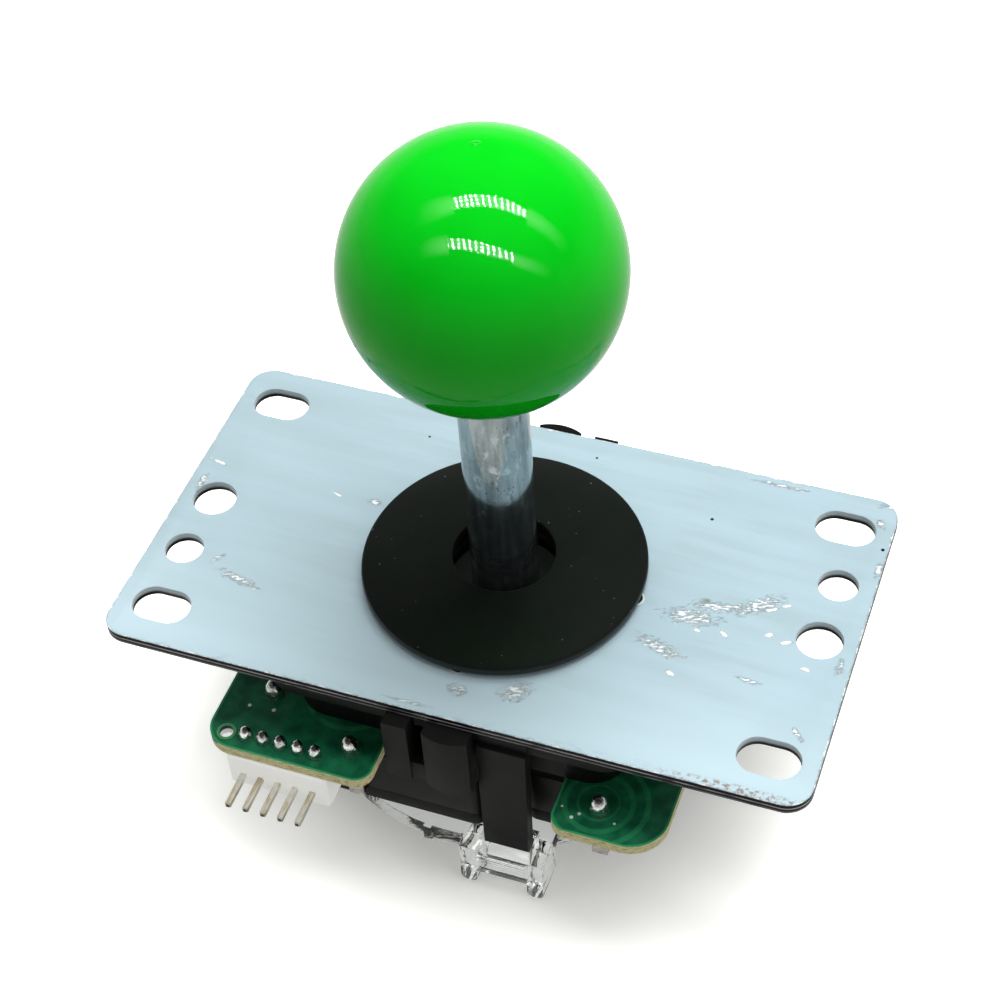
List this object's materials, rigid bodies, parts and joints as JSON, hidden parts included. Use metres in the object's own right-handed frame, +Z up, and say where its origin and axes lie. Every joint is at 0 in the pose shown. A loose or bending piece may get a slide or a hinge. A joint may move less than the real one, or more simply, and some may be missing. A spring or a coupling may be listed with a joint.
{
  "type": "arcade joystick lever",
  "caption": "Ball-topped joystick lever on a flat steel plate, with a spring-centred ball joint, microswitches, a circuit board and a clear square restrictor gate.",
  "frame": {"origin": "centre of the mounting plate's top face, on the lever's axis", "axes": "+X along the plate's long side, +Y away from the pin header, +Z up the shaft towards the ball"},
  "size_m": [0.0974, 0.0686, 0.1014],
  "materials": {
    "plate": "zinc-plated steel sheet with faint streaks",
    "screw_steel": "plated steel",
    "ball": "glossy green",
    "insert_brass": "turned brass",
    "shaft_steel": "polished turned steel",
    "washer": "satin black",
    "bush": "black low-friction plastic",
    "spring_steel": "spring steel",
    "housing": "flat black",
    "board": "green coated board",
    "solder": "bright solder",
    "header_white": "white moulded plastic",
    "pin_metal": "dull gold-coloured plating",
    "clear_gate": "clear moulded plastic",
    "switch_black": "black moulded plastic",
    "plunger": "red moulded plastic"
  },
  "bodies": {
    "base": {"mounting_plate": "plate", "plate_screws": "screw_steel", "dust_washer": "washer", "housing": "housing", "circuit_board": "board", "solder_joints": "solder", "header_base": "header_white", "header_pins": "pin_metal", "restrictor_gate": "clear_gate", "switch_case_front": "switch_black", "switch_cover_front": "switch_black", "switch_terminals_front": "solder", "switch_case_right": "switch_black", "switch_cover_right": "switch_black", "switch_terminals_right": "solder", "switch_case_back": "switch_black", "switch_cover_back": "switch_black", "switch_terminals_back": "solder", "switch_case_left": "switch_black", "switch_cover_left": "switch_black", "switch_terminals_left": "solder"},
    "spring": {"return_spring": "spring_steel"},
    "tilting_cup": {"pivot_bush": "bush", "spring_collar": "bush", "actuator": "bush"},
    "lever": {"lever_shaft": "shaft_steel", "ball_top": "ball", "ball_insert": "insert_brass", "retaining_ring": "spring_steel"},
    "plunger_front": {"switch_plunger_front": "plunger"},
    "plunger_right": {"switch_plunger_right": "plunger"},
    "plunger_back": {"switch_plunger_back": "plunger"},
    "plunger_left": {"switch_plunger_left": "plunger"}
  },
  "joints": [
    {"name": "tilt_x", "type": "hinge", "parent": "base", "child": "spring", "pos_m": [0, 0, -0.0075], "axis": [1, 0, 0], "range_deg": [-8, 8], "stiffness_Nm_per_rad": 0.6, "deforming": ["return_spring"]},
    {"name": "tilt_y", "type": "hinge", "parent": "spring", "child": "tilting_cup", "pos_m": [0, 0, -0.0075], "axis": [0, 1, 0], "range_deg": [-8, 8], "stiffness_Nm_per_rad": 0.6},
    {"name": "lever_spin", "type": "hinge", "parent": "tilting_cup", "child": "lever", "pos_m": [0, 0, 0], "axis": [0, 0, 1], "continuous": true},
    {"name": "press_front", "type": "slide", "parent": "base", "child": "plunger_front", "axis": [0, -1, 0], "range_m": [-0.0006, 0.0006]},
    {"name": "press_right", "type": "slide", "parent": "base", "child": "plunger_right", "axis": [1, 0, 0], "range_m": [-0.0006, 0.0006]},
    {"name": "press_back", "type": "slide", "parent": "base", "child": "plunger_back", "axis": [0, 1, 0], "range_m": [-0.0006, 0.0006]},
    {"name": "press_left", "type": "slide", "parent": "base", "child": "plunger_left", "axis": [-1, 0, 0], "range_m": [-0.0006, 0.0006]}
  ],
  "couplings": [
    {"joint": "press_front", "follows": "tilt_x", "m_per_rad": -0.00429},
    {"joint": "press_right", "follows": "tilt_y", "m_per_rad": -0.00429},
    {"joint": "press_back", "follows": "tilt_x", "m_per_rad": 0.00429},
    {"joint": "press_left", "follows": "tilt_y", "m_per_rad": 0.00429}
  ]
}
